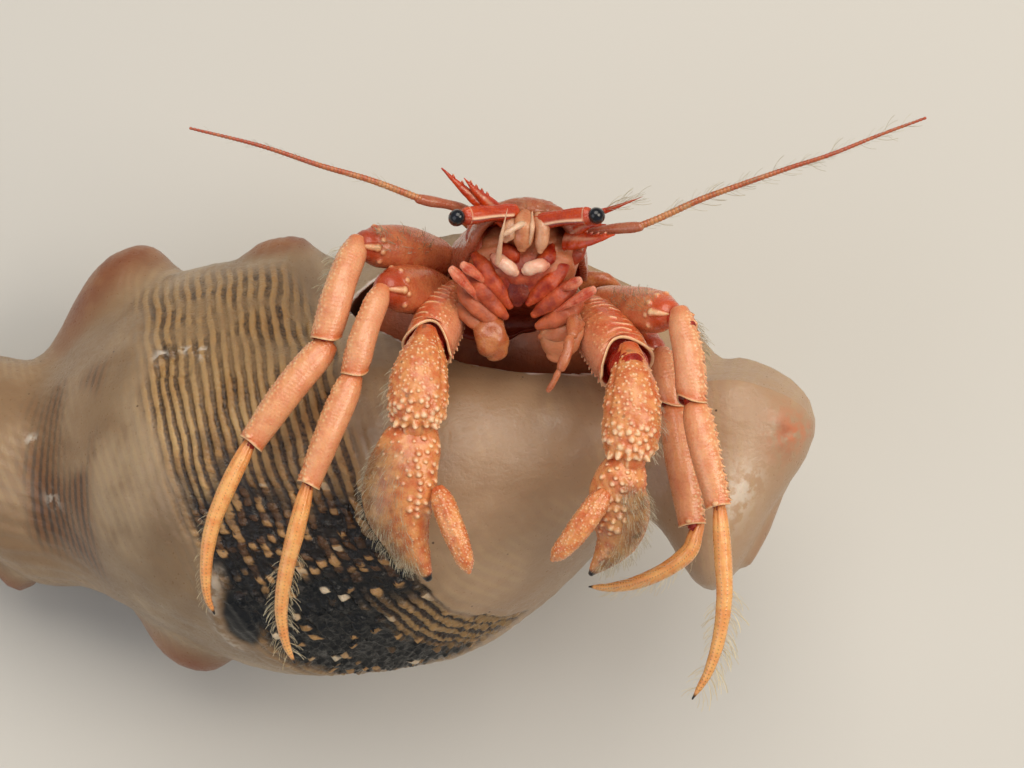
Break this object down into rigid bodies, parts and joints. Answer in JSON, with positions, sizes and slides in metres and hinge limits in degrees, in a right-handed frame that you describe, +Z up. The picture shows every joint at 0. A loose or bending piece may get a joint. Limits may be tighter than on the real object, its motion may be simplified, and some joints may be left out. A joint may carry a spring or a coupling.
{
  "type": "hermit crab",
  "caption": "Life-size hermit crab leaning out of a spindle-shaped sea-snail shell, claws and walking legs hanging forward over it; the shell lies on its side",
  "frame": {"origin": "on the flat of the shell's underside on which the model rests", "axes": "+X along the shell toward its canal end, +Y to the back where the shell's mouth opens, +Z up"},
  "size_m": [0.1481, 0.0633, 0.0713],
  "materials": {
    "shell_cover": "ribbed shell under a soft wet crust",
    "growth": "soft wet growth",
    "orange_cuticle": "semi-gloss hard skin",
    "pink_cuticle": "semi-gloss hard skin",
    "golden_cuticle": "semi-gloss hard skin",
    "red_membrane": "wet soft skin",
    "white_tooth": "glossy",
    "eye_black": "wet gloss",
    "abdomen_skin": "wet soft skin"
  },
  "bodies": {
    "root": {"shell": "shell_cover", "abdomen": "abdomen_skin", "right_eye": "eye_black", "left_eye": "eye_black", "right_jaw": "white_tooth", "left_jaw": "white_tooth", "growth_back_left": "growth", "growth_back_middle": "growth", "growth_front_left": "growth", "growth_spire": "growth", "growth_canal": "growth", "shield": "orange_cuticle", "right_eyestalk": "orange_cuticle", "left_eyestalk": "orange_cuticle", "right_feeler_base": "orange_cuticle", "left_feeler_base": "orange_cuticle", "right_feeler_scale": "orange_cuticle", "left_feeler_scale": "orange_cuticle", "left_inner_feeler": "orange_cuticle", "right_mouth_leg": "orange_cuticle", "left_mouth_leg": "orange_cuticle", "right_leg_1_merus": "orange_cuticle", "right_leg_1_carpus": "orange_cuticle", "right_leg_1_propodus": "orange_cuticle", "right_leg_2_merus": "orange_cuticle", "right_leg_2_carpus": "orange_cuticle", "right_leg_2_propodus": "orange_cuticle", "right_claw_carpus": "orange_cuticle", "right_claw_palm": "orange_cuticle", "right_claw_finger": "orange_cuticle", "left_leg_1_merus": "orange_cuticle", "left_leg_1_carpus": "orange_cuticle", "left_leg_1_propodus": "orange_cuticle", "left_leg_2_merus": "orange_cuticle", "left_leg_2_carpus": "orange_cuticle", "left_leg_2_propodus": "orange_cuticle", "left_claw_carpus": "orange_cuticle", "left_claw_palm": "orange_cuticle", "left_claw_finger": "orange_cuticle", "upper_lip": "pink_cuticle", "right_inner_feeler": "pink_cuticle", "right_claw_merus": "pink_cuticle", "left_claw_merus": "pink_cuticle", "right_leg_3": "pink_cuticle", "right_leg_4": "pink_cuticle", "left_leg_3": "pink_cuticle", "left_leg_4": "pink_cuticle", "right_leg_1_dactyl": "golden_cuticle", "right_leg_2_dactyl": "golden_cuticle", "left_leg_1_dactyl": "golden_cuticle", "left_leg_2_dactyl": "golden_cuticle", "right_feeler": "golden_cuticle", "left_feeler": "golden_cuticle", "trunk": "red_membrane", "right_mouth_paddle": "red_membrane", "left_mouth_paddle": "red_membrane"}
  },
  "joints": []
}
